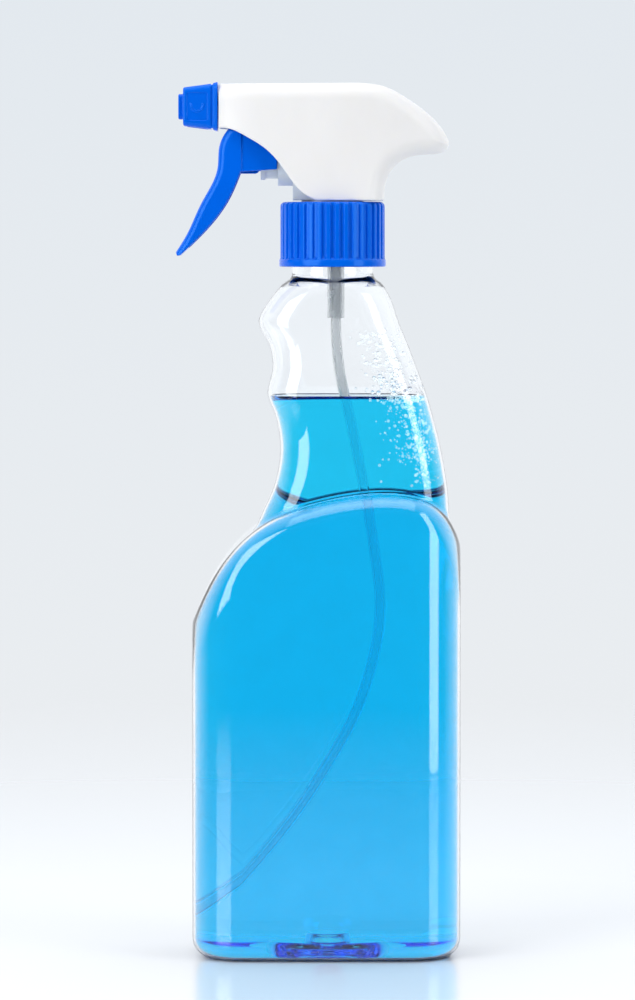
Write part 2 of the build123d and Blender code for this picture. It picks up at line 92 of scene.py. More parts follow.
def smooth_path(points, count=40):
    """Evenly spaced points along a smooth curve through a few points."""
    points = np.asarray(points, float)
    chord = np.r_[0, np.cumsum(np.linalg.norm(np.diff(points, axis=0), axis=1))]
    fine = np.linspace(0, chord[-1], FINE_STEPS)
    curve = np.stack([smooth_through(chord, points[:, k], fine) for k in range(2)], 1)
    along = np.r_[0, np.cumsum(np.linalg.norm(np.diff(curve, axis=0), axis=1))]
    even = np.linspace(0, along[-1], count)
    return np.stack([np.interp(even, along, curve[:, k]) for k in range(2)], 1)


def smooth_step(low, high, value):
    """Rises smoothly from 0 at low to 1 at high."""
    t = np.clip((value - low) / (high - low), 0, 1)
    return t * t * (3 - 2 * t)


SAME_PLACE = 1e-7


def new_piece(name, skin, body, material, replaced=(), turn_out=True):
    """A mesh piece from a (vertices, faces) skin in millimetres, riding on a CAD body."""
    vertices, faces = skin
    mesh = bpy.data.meshes.new(name)
    mesh.from_pydata((np.asarray(vertices, float) * MM).tolist(), [], faces)
    if turn_out:
        edit = bmesh.new()
        edit.from_mesh(mesh)
        bmesh.ops.remove_doubles(edit, verts=edit.verts, dist=SAME_PLACE)
        bmesh.ops.recalc_face_normals(edit, faces=edit.faces)
        edit.to_mesh(mesh)
        edit.free()
    mesh.update()
    mesh.polygons.foreach_set("use_smooth", [True] * len(mesh.polygons))
    mesh.materials.append(material)
    piece = bpy.data.objects.new(name, mesh)
    bpy.context.scene.collection.objects.link(piece)
    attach(piece, body)
    if replaced:
        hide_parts(*replaced)
    return piece


def loop_grid(rings, closed_ends=(True, True), wrap=False):
    """Vertices and faces of a skin over equal rings of points; wrap joins the last to the first."""
    rings = np.asarray(rings, float)
    ring_count, width = rings.shape[:2]
    vertices = rings.reshape(-1, 3)
    faces = []
    bands = ring_count if wrap else ring_count - 1
    for i in range(bands):
        j = (i + 1) % ring_count
        for k in range(width):
            m = (k + 1) % width
            faces.append((i * width + k, i * width + m, j * width + m, j * width + k))
    if closed_ends[0]:
        faces.append(tuple(range(width)))
    if closed_ends[1]:
        faces.append(tuple(range((ring_count - 1) * width, ring_count * width)))
    return vertices, faces


def joined(*parts):
    """Several (vertices, faces) skins as one."""
    vertices, faces, start = [], [], 0
    for part_vertices, part_faces in parts:
        vertices.append(np.asarray(part_vertices, float))
        faces += [tuple(i + start for i in face) for face in part_faces]
        start += len(part_vertices)
    return np.concatenate(vertices), faces


CORNER_ANGLE = 60.0


def keep_corners(piece):
    """Keeps real corners crisp while the curved skin stays smooth."""
    piece.data.set_sharp_from_angle(angle=math.radians(CORNER_ANGLE))


# --- Materials ---------------------------------------------------------------------


def colour_ramp(tree, value, stops):
    """A colour that follows a value through (position, colour) stops."""
    ramp = tree.nodes.new("ShaderNodeValToRGB")
    elements = ramp.color_ramp.elements
    for element, (position, colour) in zip(elements, (stops[0], stops[-1])):
        element.position = position
        element.color = (*colour, 1)
    for position, colour in stops[1:-1]:
        elements.new(position).color = (*colour, 1)
    tree.links.new(value, ramp.inputs["Fac"])
    return ramp.outputs["Color"]


class Shader:
    """A small helper that builds one material's node tree."""

    def __init__(self, name):
        self.material = bpy.data.materials.new(name)
        self.material.use_nodes = True
        self.tree = self.material.node_tree
        self.surface = self.tree.nodes["Principled BSDF"]
        self.output = self.tree.nodes["Material Output"]

    def node(self, kind, **settings):
        made = self.tree.nodes.new(kind)
        for key, value in settings.items():
            setattr(made, key, value)
        return made

    def link(self, start, end):
        self.tree.links.new(start, end)

    def set(self, **values):
        for key, value in values.items():
            self.surface.inputs[key.replace("_", " ")].default_value = value

    def noise(self, scale, detail=4.0, rough=0.55, stretch=(1, 1, 1)):
        """Noise in the object's own coordinates, in cells per metre."""
        place = self.node("ShaderNodeTexCoord")
        mapping = self.node("ShaderNodeMapping")
        mapping.inputs["Scale"].default_value = stretch
        noise = self.node("ShaderNodeTexNoise")
        noise.inputs["Scale"].default_value = scale
        noise.inputs["Detail"].default_value = detail
        noise.inputs["Roughness"].default_value = rough
        self.link(place.outputs["Object"], mapping.inputs["Vector"])
        self.link(mapping.outputs["Vector"], noise.inputs["Vector"])
        return noise.outputs["Fac"]

    def ramp(self, value, low, high, at=(0.3, 0.7)):
        """A number that follows a noise between two values."""
        spread = self.node("ShaderNodeMapRange")
        spread.inputs["From Min"].default_value = at[0]
        spread.inputs["From Max"].default_value = at[1]
        spread.inputs["To Min"].default_value = low
        spread.inputs["To Max"].default_value = high
        self.link(value, spread.inputs["Value"])
        return spread.outputs["Result"]

    def colours(self, value, first, second, at=(0.3, 0.7)):
        """A colour that follows a noise between two colours."""
        return colour_ramp(self.tree, value, [(at[0], first), (at[1], second)])

    def bump(self, value, strength, distance):
        """Fine relief that follows a value, up to a distance in metres."""
        bump = self.node("ShaderNodeBump")
        bump.inputs["Strength"].default_value = strength
        bump.inputs["Distance"].default_value = distance
        self.link(value, bump.inputs["Height"])
        self.link(bump.outputs["Normal"], self.surface.inputs["Normal"])


FLOW_MARKS = 55.0
GLOSS_PATCHES = 240.0
SKIN_RELIEF = 0.0002
PLASTIC_IOR = 1.49


def moulded_plastic(name, first, second, rough=(0.2, 0.3), bump=0.04, grain=1600.0,
                    glow=0.0, tint=(1, 1, 1)):
    """Injection-moulded plastic: faint flow marks in the colour, a fine skin, uneven gloss."""
    shader = Shader(name)
    flow = shader.noise(FLOW_MARKS, 3.0, 0.5, (1, 1, 0.45))
    shader.link(shader.colours(flow, first, second), shader.surface.inputs["Base Color"])
    skin = shader.noise(grain, 2.0)
    gloss = shader.noise(GLOSS_PATCHES, 4.0)
    shader.link(shader.ramp(gloss, *rough), shader.surface.inputs["Roughness"])
    shader.bump(skin, bump, SKIN_RELIEF)
    shader.set(IOR=PLASTIC_IOR, Specular_Tint=(*tint, 1))
    if glow:
        shader.set(Subsurface_Weight=glow, Subsurface_Radius=(0.6, 0.7, 1.0),
                   Subsurface_Scale=0.002)
    return shader.material


CLOUDS = 90.0
WALL_WAVES = 60.0
WALL_RELIEF = 0.0004
# Colour of the painted glow on bubbles, foam and drops: emission standing in for their glints.
PAINTED_GLOW_COLOUR = (0.85, 0.96, 1.0)


def clear_plastic(name, tint, ior, rough=(0.0, 0.02), bump=0.0, density=0.0, colour=(1, 1, 1),
                  clear=1.0, painted_glow=0.0):
    """A clear plastic or liquid, with its tint on the surface and in its depth, and optionally a
    faint painted glow (emission) that stands in for bright glints.
    """
    shader = Shader(name)
    shader.set(Transmission_Weight=clear, IOR=ior, Specular_IOR_Level=0.3)
    # Painted highlight: a faint cyan-white emission makes the piece glow as if catching light.
    if painted_glow:
        shader.set(Emission_Color=(*PAINTED_GLOW_COLOUR, 1), Emission_Strength=painted_glow)
    cloud = shader.noise(CLOUDS, 3.0)
    paler = tuple(0.985 * c for c in tint)
    shader.link(shader.colours(cloud, tint, paler), shader.surface.inputs["Base Color"])
    shader.link(shader.ramp(cloud, *rough), shader.surface.inputs["Roughness"])
    if bump:
        shader.bump(shader.noise(WALL_WAVES, 1.0), bump, WALL_RELIEF)
    if density:
        soak = shader.node("ShaderNodeVolumeAbsorption")
        soak.inputs["Color"].default_value = (*colour, 1)
        soak.inputs["Density"].default_value = density
        shader.link(soak.outputs["Volume"], shader.output.inputs["Volume"])
    return shader.material


def milky_tube(name, level):
    """A milky tube: softly clear in air, nearly vanishing below the liquid's level."""
    shader = Shader(name)
    cloud = shader.noise(120.0, 3.0)
    wet = shader.node("ShaderNodeBsdfPrincipled")
    # Colour, clearness, refractive index and roughness.
    in_air = (shader.surface, (0.95, 0.97, 0.98), 0.8, 1.3, 0.2)
    in_liquid = (wet, (0.90, 0.97, 1.0), 0.96, 1.12, 0.08)
    for surface, colour, clear, ior, rough in (in_air, in_liquid):
        surface.inputs["Base Color"].default_value = (*colour, 1)
        surface.inputs["Transmission Weight"].default_value = clear
        surface.inputs["IOR"].default_value = ior
        shader.link(shader.ramp(cloud, rough, 1.4 * rough), surface.inputs["Roughness"])
    place = shader.node("ShaderNodeTexCoord")
    split = shader.node("ShaderNodeSeparateXYZ")
    under = shader.node("ShaderNodeMath", operation="LESS_THAN")
    under.inputs[1].default_value = level
    mix = shader.node("ShaderNodeMixShader")
    shader.link(place.outputs["Object"], split.inputs[0])
    shader.link(split.outputs["Z"], under.inputs[0])
    shader.link(under.outputs[0], mix.inputs["Fac"])
    shader.link(shader.surface.outputs["BSDF"], mix.inputs[1])
    shader.link(wet.outputs["BSDF"], mix.inputs[2])
    shader.link(mix.outputs["Shader"], shader.output.inputs["Surface"])
    return shader.material


def metal(name, colour, rough=(0.18, 0.32)):
    """Drawn or polished stainless steel."""
    shader = Shader(name)
    drawn = shader.noise(900.0, 3.0, 0.6, (1, 1, 8))
    darker = tuple(0.86 * c for c in colour)
    shader.link(shader.colours(drawn, colour, darker), shader.surface.inputs["Base Color"])
    shader.link(shader.ramp(drawn, *rough), shader.surface.inputs["Roughness"])
    shader.bump(drawn, 0.05, 0.0001)
    shader.set(Metallic=1.0)
    return shader.material


blue_plastic = moulded_plastic("blue_plastic", (0.0, 0.115, 0.72), (0.0, 0.132, 0.79),
                               rough=(0.14, 0.22), tint=(0.2, 0.55, 1.0))
white_plastic = moulded_plastic("white_plastic", (0.84, 0.825, 0.81), (0.87, 0.86, 0.85),
                                rough=(0.34, 0.46), bump=0.06, glow=0.15)
natural_pp = moulded_plastic("natural_pp", (0.60, 0.66, 0.74), (0.66, 0.72, 0.79),
                             rough=(0.3, 0.45), glow=0.4)
seal_plastic = moulded_plastic("seal_plastic", (0.72, 0.73, 0.71), (0.78, 0.78, 0.76),
                               rough=(0.45, 0.6), grain=2600.0)
gasket_foam = moulded_plastic("gasket_foam", (0.86, 0.86, 0.84), (0.93, 0.93, 0.91),
                              rough=(0.6, 0.8), bump=0.4, grain=3200.0)
spring_steel = metal("spring_steel", (0.62, 0.62, 0.64))
ball_steel = metal("ball_steel", (0.75, 0.75, 0.77), rough=(0.05, 0.12))
clear_pet = clear_plastic("clear_pet", (0.985, 0.995, 1.0), 1.46, bump=0.03)
liquid_blue = clear_plastic("liquid_blue", (1.0, 1.0, 1.0), 1.333, density=130.0,
                            colour=(0.0, 0.888, 0.991))
dip_tube_milky = milky_tube("dip_tube_milky", box_mm("cleaning_liquid")[1][2] * MM)
retainer_milky = milky_tube("retainer_milky", 0.0)
# Bubbles, foam and droplets get a painted glow for their glints, though they are no lamp.
bubble_air = clear_plastic("bubble_air", (0.90, 0.98, 1.0), 1.12, rough=(0.05, 0.12), painted_glow=0.2,
                           clear=0.8)
foam_white = clear_plastic("foam_white", (0.95, 0.99, 1.0), 1.15, rough=(0.05, 0.12), painted_glow=0.2,
                           clear=0.8)
droplet_water = clear_plastic("droplet_water", (0.98, 0.99, 1.0), 1.18, rough=(0.0, 0.05),
                              painted_glow=0.06)


# --- Bottle and liquid ----------------------------------------------------------------
bottle_low, bottle_high = box_mm("bottle")
BODY_MIDDLE = (bottle_low[0] + bottle_high[0]) / 2
HALF_LENGTH = (bottle_high[0] - bottle_low[0]) / 2
HALF_DEPTH = bottle_high[1]
RIM = bottle_high[2]
SHOULDER = 209.9
LIQUID_LEVEL = box_mm("cleaning_liquid")[1][2]
NECK_X = sum(box_mm("neck_gasket")[k][0] for k in (0, 1)) / 2
NECK_RADIUS = 12.6
BORE_RADIUS = 10.85
WALL = 0.8
LIQUID_GAP = 0.06
CORNER = 15.0
HEEL = 6.0
LEDGE = 7.0
BACK_LEDGE = 4.0
CREASE = 1.3
GRIP_TOP_EDGE = 2.4
NECK_FOOT = 1.6
RIM_EDGE = 0.4
FACE_BOW = 0.9
SIDE_BOW = 0.5
THREAD_PITCH = 25.4 / 6
THREAD_START = 218.5
THREAD_TURNS = 1.25
THREAD_DEPTH = 1.15
THREAD_CREST = 0.42
THREAD_FLANK = 1.02
THREAD_FADE = 0.06
RING_POINTS = 320
RADIUS_SEARCH = (0.5, 70.0)
HALVINGS = 40
START = 0.02

# The push-up's ovals: half length, half depth, rise, and where the slope starts.
PUNT_MIDDLE = 3.2
PUNT_OVALS = [(30.0, 14.8, 2.2, 0.84), (19.5, 9.4, 1.6, 0.82)]
GATE_RISE = 2.6
GATE_TOP, GATE_FOOT = 5.4, 6.9

ARCH = np.array([
    (-42.5, 94.0), (-38.5, 104.2), (-29.1, 122.5), (-17.0, 134.2), (4.0, 142.0),
    (22.0, 143.9), (36.0, 140.2), (42.6, 131.8), (46.0, 116.0),
])
ARCH_LINE = smooth_path(ARCH, count=800)
ARCH_SLOPE = np.gradient(ARCH_LINE[:, 1], ARCH_LINE[:, 0])

# Height, left edge, right edge, half depth and corner radius of the grip.
GRIP = np.array([
    (90.0, -19.5, 41.2, 16.9, 12.0), (124.0, -19.5, 41.2, 16.9, 12.0),
    (131.0, -19.3, 41.0, 16.9, 12.0), (137.0, -17.4, 40.7, 16.9, 12.0),
    (144.0, -14.2, 40.3, 16.9, 12.0), (151.0, -12.2, 39.3, 16.9, 12.0),
    (157.5, -11.5, 38.1, 16.9, 12.0), (165.0, -12.4, 36.3, 16.8, 12.0),
    (170.0, -13.9, 34.9, 16.7, 12.0), (174.3, -15.4, 33.6, 16.6, 12.0),
    (178.5, -14.7, 32.1, 16.5, 12.0), (182.5, -13.9, 30.6, 16.4, 12.0),
    (187.0, -14.3, 28.9, 16.2, 12.0), (191.5, -15.9, 27.1, 16.0, 12.0),
    (196.4, -18.2, 25.1, 15.7, 12.1), (200.5, -16.6, 23.8, 15.3, 12.2),
    (205.5, -13.1, 21.7, 14.8, 12.5), (SHOULDER, -9.2, 19.0, 13.6, 12.9),
])

# Height and x of the line that the rings are drawn round.
RING_CENTRES = np.array([
    (0.0, BODY_MIDDLE), (100.0, BODY_MIDDLE), (131.0, 10.5), (150.0, 12.5), (175.0, 8.5),
    (200.0, 4.5), (SHOULDER + 2, NECK_X), (RIM, NECK_X),
])


def round_meet(a, b, radius):
    """Distance to where two solids overlap, with a rounded edge."""
    u = np.maximum(a + radius, 0)
    v = np.maximum(b + radius, 0)
    return np.minimum(np.maximum(a, b), -radius) + np.hypot(u, v)


def round_join(a, b, radius):
    """Distance to two solids together, with a rounded crease."""
    u = np.maximum(radius - a, 0)
    v = np.maximum(radius - b, 0)
    return np.maximum(np.minimum(a, b), radius) - np.hypot(u, v)


def rounded_box(x, y, half_x, half_y, radius):
    """Distance to a rounded rectangle in plan."""
    u = np.abs(x) - (half_x - radius)
    v = np.abs(y) - (half_y - radius)
    outside = np.hypot(np.maximum(u, 0), np.maximum(v, 0))
    return outside + np.minimum(np.maximum(u, v), 0) - radius


def arch_distance(x, z):
    """How far a point stands above the arch that ends the lower body."""
    height = np.interp(x, ARCH_LINE[:, 0], ARCH_LINE[:, 1])
    slope = np.interp(x, ARCH_LINE[:, 0], ARCH_SLOPE)
    return (z - height) / np.hypot(1, slope)


def bottle_distance(x, y, z, inset):
    """Distance to the bottle's skin below the neck; inset gives its hollow."""
    over = arch_distance(x, z) + inset
    along = (x - BODY_MIDDLE) / HALF_LENGTH
    across = y / HALF_DEPTH
    ledge_radius = np.where(y > 0, BACK_LEDGE, LEDGE) - inset
    depth = HALF_DEPTH - inset - FACE_BOW * along**2
    ledge = np.clip(over + ledge_radius, 0, ledge_radius)
    depth = depth - ledge_radius + np.sqrt(np.maximum(ledge_radius**2 - ledge**2, 0))
    length = HALF_LENGTH - inset - SIDE_BOW * across**2
    plan = rounded_box(x - BODY_MIDDLE, y, length, depth, CORNER - inset)
    body = round_meet(plan, inset - z, HEEL - inset)
    body = np.maximum(body, over)
    left, right, half_depth, radius = (
        smooth_through(GRIP[:, 0], GRIP[:, k], z) for k in range(1, 5)
    )
    grip = rounded_box(x - (left + right) / 2, y, (right - left) / 2 - inset,
                       half_depth - inset, radius - inset)
    grip = round_meet(grip, z - (SHOULDER - inset), GRIP_TOP_EDGE)
    return round_join(body, grip, CREASE)


def thread_height(angle, z):
    """How far the neck's thread stands out."""
    turns = np.mod(angle / (2 * math.pi), 1.0)
    height = np.zeros(np.broadcast(angle, z).shape)
    for lap in range(int(THREAD_TURNS) + 1):
        centre = THREAD_START + THREAD_PITCH * (turns + lap)
        run = smooth_step(0.0, THREAD_FADE, turns + lap)
        run = run * (1 - smooth_step(THREAD_TURNS - THREAD_FADE, THREAD_TURNS, turns + lap))
        ridge = 1 - smooth_step(THREAD_CREST, THREAD_FLANK, np.abs(z - centre))
        height = np.maximum(height, THREAD_DEPTH * ridge * run)
    return height


def with_neck(x, y, z, inset, neck_radius):
    """The bottle with its neck, as one distance."""
    neck = np.hypot(x - NECK_X, y) - neck_radius
    return round_join(bottle_distance(x, y, z, inset), neck, NECK_FOOT)


def bottle_rings(levels, inset, neck_radius, thread=False):
    """Rings round the bottle's skin at the given heights."""
    angles = np.arange(RING_POINTS) / RING_POINTS * 2 * math.pi
    middle = np.interp(levels, RING_CENTRES[:, 0], RING_CENTRES[:, 1])
    z = np.repeat(levels[:, None], RING_POINTS, 1)
    c = np.cos(angles)[None, :]
    s = np.sin(angles)[None, :]
    low = np.full(z.shape, RADIUS_SEARCH[0])
    high = np.full(z.shape, RADIUS_SEARCH[1])
    for _ in range(HALVINGS):
        half = (low + high) / 2
        x = middle[:, None] + half * c
        inside = with_neck(x, half * s, z, inset, neck_radius) < 0
        low = np.where(inside, half, low)
        high = np.where(inside, high, half)
    radius = (low + high) / 2
    if thread:
        radius = radius + thread_height(angles[None, :], z) * (z > SHOULDER + 3)
    return np.stack([middle[:, None] + radius * c, radius * s, z], 2)


def punt_height(x, y, inset):
    """The raised oval under the bottle, with its gate mark."""
    rise = 0.0
    for half_x, half_y, height, slope_start in PUNT_OVALS:
        out = np.hypot((x - PUNT_MIDDLE) / (half_x + inset), y / (half_y + inset))
        rise = rise + height * (1 - smooth_step(slope_start, 1.0, out))
    gate = np.hypot(x - PUNT_MIDDLE, y)
    return rise + GATE_RISE * (1 - smooth_step(GATE_TOP + inset, GATE_FOOT + inset, gate))


def base_rings(inset, last_ring):
    """Rings that close the base inwards over the punt, from the wall's last ring."""
    rings = []
    for share in np.r_[np.linspace(0.99, 0.30, 80), np.linspace(0.29, 0.02, 36)]:
        x = BODY_MIDDLE + (last_ring[:, 0] - BODY_MIDDLE) * share
        y = last_ring[:, 1] * share
        rings.append(np.stack([x, y, punt_height(x, y, inset) + inset], 1))
    return np.array(rings[::-1])


def wall_levels(bottom, top):
    """Heights of the rings: close together at the heel, the arch and the grip."""
    bands = [(0.0, 8.0, 0.4), (8.0, 96.0, 4.0), (96.0, 126.0, 0.5), (126.0, 148.0, 0.25),
             (148.0, 205.0, 0.6), (205.0, 214.0, 0.2), (214.0, 226.5, 0.25),
             (226.5, RIM, 0.5)]
    levels = np.concatenate([np.arange(low, high, step) for low, high, step in bands])
    heel = bottom + HEEL * (1 - np.cos(np.linspace(START, 1.0, 10)))
    levels = levels[(levels > heel[-1] + 0.2) & (levels < top - START)]
    return np.r_[heel, levels, top]


def make_bottle():
    """A thin-walled bottle: outer skin, rim and inner skin, as one closed shell."""
    outer = bottle_rings(wall_levels(START, RIM - RIM_EDGE), 0.0, NECK_RADIUS, thread=True)
    inner = bottle_rings(wall_levels(WALL + START, RIM - RIM_EDGE / 2), WALL, BORE_RADIUS)
    rim_rings = []
    for ring, share in ((outer[-1], (NECK_RADIUS - RIM_EDGE) / NECK_RADIUS), (inner[-1], 1.018)):
        rim = ring.copy()
        rim[:, :2] = [NECK_X, 0] + (rim[:, :2] - [NECK_X, 0]) * share
        rim[:, 2] = RIM
        rim_rings.append(rim)
    rings = [*base_rings(0.0, outer[0]), *outer, *rim_rings, *inner[::-1],
             *base_rings(WALL, inner[0])[::-1]]
    new_piece("bottle_clear", loop_grid(rings), "bottle_body", clear_pet, ["bottle"])


MENISCUS = 1.3
MENISCUS_REACH = 1.1


def make_liquid():
    """The liquid inside, its surface drawn up a little all round the wall."""
    inset = WALL + LIQUID_GAP
    levels = wall_levels(inset + START, LIQUID_LEVEL + MENISCUS)
    side = bottle_rings(levels, inset, BORE_RADIUS)
    edge = side[-1]
    centre = np.array([edge[:, 0].mean(), 0.0])
    span = np.linalg.norm(edge[:, :2] - centre, axis=1)
    top = []
    for gap in np.r_[np.geomspace(0.12, 6.0, 14), np.linspace(7.5, 40.0, 20)]:
        share = np.maximum(1 - gap / span, 0.01)
        ring = edge.copy()
        ring[:, :2] = centre + (edge[:, :2] - centre) * share[:, None]
        ring[:, 2] = LIQUID_LEVEL + MENISCUS * math.exp(-gap / MENISCUS_REACH)
        top.append(ring)
    rings = [*base_rings(inset, side[0]), *side, *top]
    new_piece("cleaning_liquid_blue", loop_grid(rings), "bottle_body", liquid_blue,
              ["cleaning_liquid"])


make_bottle()
make_liquid()


FACE_HALVINGS = 30


def wall_face(x, z, inset):
    """Where the front of the bottle's hollow stands at a place, or nothing outside it."""
    low, high = -25.0, 0.0
    if with_neck(x, high, z, inset, BORE_RADIUS) > 0:
        return None
    for _ in range(FACE_HALVINGS):
        half = (low + high) / 2
        if with_neck(x, half, z, inset, BORE_RADIUS) < 0:
            high = half
        else:
            low = half
    return high


def unit_ball(around=14, rows=8):
    """A small ball's points and faces."""
    points = [(0.0, 0.0, -1.0)]
    for row in range(1, rows):
        tilt = math.pi * row / rows - math.pi / 2
        for k in range(around):
            turn = 2 * math.pi * k / around
            points.append((math.cos(tilt) * math.cos(turn), math.cos(tilt) * math.sin(turn),
                           math.sin(tilt)))
    points.append((0.0, 0.0, 1.0))
    faces = []
    for k in range(around):
        m = (k + 1) % around
        faces.append((0, 1 + m, 1 + k))
        for row in range(rows - 2):
            a, b = 1 + row * around, 1 + (row + 1) * around
            faces.append((a + k, a + m, b + m, b + k))
        last = 1 + (rows - 2) * around
        faces.append((last + k, last + m, len(points) - 1))
    return np.array(points), faces


def scatter(name, places, squash, material):
    """Many small balls as one piece; squash flattens them against the wall."""
    ball, ball_faces = unit_ball()
    parts = []
    for (x, y, z), radius in places:
        shape = ball * [radius, radius * squash, radius]
        parts.append((shape + [x, y, z], ball_faces))
    new_piece(name, joined(*parts), "bottle_body", material, turn_out=False)


BUBBLE_SEED = 7
chance = np.random.default_rng(BUBBLE_SEED)


def wall_places(count, x_range, z_range, depth, radii, keep):
    """Seeded places in from the front wall, thinned by a rule; a depth of 0 puts them on it."""
    places = []
    while len(places) < count:
        x = chance.uniform(*x_range)
        z = chance.uniform(*z_range)
        radius = radii[0] * (radii[1] / radii[0]) ** (chance.uniform() ** 2)
        if chance.uniform() > keep(x, z):
            continue
        face = wall_face(x, z, WALL)
        if face is None:
            continue
        y = face + chance.uniform(*depth) + radius
        if with_neck(x, y, z, WALL + radius + 0.1, BORE_RADIUS) > 0 and depth[0] > 0:
            continue
        places.append(((x, y if depth[0] > 0 else face, z), radius))
    return places


def right_edge(z):
    """Where the grip's right side stands at a height."""
    return np.interp(z, GRIP[:, 0], GRIP[:, 2])


bubbles = wall_places(
    count=460, x_range=(18.0, 39.0), z_range=(146.0, LIQUID_LEVEL - 0.6), depth=(0.15, 3.0),
    radii=(0.16, 0.55),
    keep=lambda x, z: math.exp(-abs(x - (right_edge(z) - 6.5)) / 3.2) * (0.35 + 0.65 * (z > 152)),
)
scatter("bubbles_in_liquid", bubbles, 1.0, bubble_air)
foam = wall_places(
    count=170, x_range=(16.0, 34.0), z_range=(LIQUID_LEVEL - 0.8, LIQUID_LEVEL + 1.5),
    depth=(0.05, 2.4), radii=(0.2, 0.5),
    keep=lambda x, z: math.exp(-abs(x - 29.0) / 5.0),
)
scatter("foam_on_surface", foam, 1.0, foam_white)
drops = wall_places(
    count=260, x_range=(10.0, 34.0), z_range=(LIQUID_LEVEL + 2.0, 194.0), depth=(0.0, 0.0),
    radii=(0.3, 0.95),
    keep=lambda x, z: (math.exp(-abs(x - (right_edge(z) - 8.0)) / 4.0)
                       * math.exp((172.0 - z) / 22.0)),
)
scatter("droplets_on_wall", drops, 0.55, droplet_water)


# --- Sculpted pieces ------------------------------------------------------------------
def carve(name, node, step, distance, body, material):
    """A smooth skin round a solid given by its distance, in place of a CAD node."""
    low, high = box_mm(node)
    band = 3 * step
    axes = [np.arange(a - band, b + band + step, step) for a, b in zip(low, high)]
    x = axes[0][:, None, None]
    y = axes[1][None, :, None]
    z = axes[2][None, None, :]
    field = np.clip(distance(x, y, z), -band, band).astype(np.float32)
    grid = openvdb.FloatGrid(band)
    grid.copyFromArray(field)
    points, quads = grid.convertToQuads(0.0)
    vertices = np.asarray(points) * step + [axis[0] for axis in axes]
    new_piece(name, (vertices, np.asarray(quads).tolist()), body, material, [node])


def outline_distance(x, z, outline):
    """Signed distance to a closed outline in a plane, negative inside."""
    x, z = np.broadcast_arrays(x, z)
    nearest = np.full(x.shape, np.inf)
    inside = np.zeros(x.shape, bool)
    for (ax, az), (bx, bz) in zip(outline, np.roll(outline, -1, axis=0)):
        run_x, run_z = bx - ax, bz - az
        length = run_x**2 + run_z**2
        if length == 0:
            continue
        share = np.clip(((x - ax) * run_x + (z - az) * run_z) / length, 0, 1)
        nearest = np.minimum(nearest, np.hypot(x - ax - run_x * share, z - az - run_z * share))
        if bz != az:
            crossed = ((az > z) != (bz > z)) & (x < run_x * (z - az) / run_z + ax)
            inside ^= crossed
    return np.where(inside, -nearest, nearest)


SHROUD_FRONT = box_mm("shroud")[0][0]
SHROUD_TOP = box_mm("shroud")[1][2]
SHROUD_FOOT = box_mm("shroud")[0][2]
SHROUD_WALL = 1.2
SHROUD_EDGE = 5.0
CUT_EDGE = 0.3
# The shell's side outline runs past its front and foot, where the rim outline cuts it open.
PAST_FRONT = -38.0
PAST_FOOT = [(20.6, 222.0), (-8.0, 222.0), (-12.0, 234.0), (-20.0, 244.0), (PAST_FRONT, 248.0)]
CROWN = smooth_path([(12.5, SHROUD_TOP), (20.5, 268.9), (27.7, 265.2), (37.0, 257.8), (41.2, 252.2)])
BEAK = smooth_path([(41.2, 250.4), (40.0, 249.3), (30.8, 247.7), (23.8, 244.2), (21.2, 239.5),
                    (20.6, SHROUD_FOOT)])
FRONT_EDGE = smooth_path([(-0.4, SHROUD_FOOT), (-3.4, 235.3), (-12.1, 245.7), (-16.3, 249.9),
                          (-21.9, 253.4), (-27.2, 255.8), (SHROUD_FRONT, 256.1)])
# The cover's half width along x.
HALF_WIDTHS = [(-30.4, 7.9), (-28.0, 9.4), (-25.5, 10.3), (-14.0, 11.8), (2.0, 12.5),
               (18.0, 12.0), (32.0, 9.2), (39.0, 6.6), (41.9, 4.4)]


def shroud_distance(x, y, z):
    """The pump's cover: a thin shell, open at the nozzle and underneath."""
    back = np.concatenate([CROWN, BEAK])
    rim = np.concatenate([[(SHROUD_FRONT, SHROUD_TOP - 0.2)], back, FRONT_EDGE])
    past = np.concatenate([[(PAST_FRONT, SHROUD_TOP - 0.2)], back, PAST_FOOT])
    within = outline_distance(x[:, 0, :], z[:, 0, :], rim)[:, None, :]
    side = outline_distance(x[:, 0, :], z[:, 0, :], past)[:, None, :]
    near = np.concatenate([[(PAST_FRONT, 7.2)], smooth_path(HALF_WIDTHS, 60), [(43.0, 2.2)]])
    plan_outline = np.concatenate([near, (near * [1, -1])[::-1]])
    plan = outline_distance(x[:, :, 0], y[:, :, 0], plan_outline)[:, :, None]
    outer = round_meet(side, plan, SHROUD_EDGE)
    inner = round_meet(side + SHROUD_WALL, plan + SHROUD_WALL, SHROUD_EDGE - SHROUD_WALL)
    return round_meet(round_meet(outer, -inner, CUT_EDGE), within, CUT_EDGE)


carve("shroud_smooth", "shroud", 0.3, shroud_distance, "sprayer_head",
      white_plastic)

PIVOT = (-23.0, 258.5)
LEVER_FRONT = smooth_path([(-25.2, 258.2), (-28.2, 254.8), (-30.1, 251.0), (-30.8, 243.8),
                           (-35.8, 233.0), (-40.2, 223.6), (-43.7, 217.9)], 60)
LEVER_BACK = smooth_path([(-41.4, 217.7), (-33.7, 225.4), (-27.3, 234.2), (-23.6, 242.6)])
LEVER_TIP = [(-43.3, 216.8), (-42.3, 216.9)]
CHEEK_BACK = [(-12.4, 243.4), (-12.4, 247.0), (-17.0, 252.6), (-20.4, 258.5)]
LEVER_CROWN = [(-21.2, 260.9), (-23.0, 261.7), (-24.6, 260.6)]
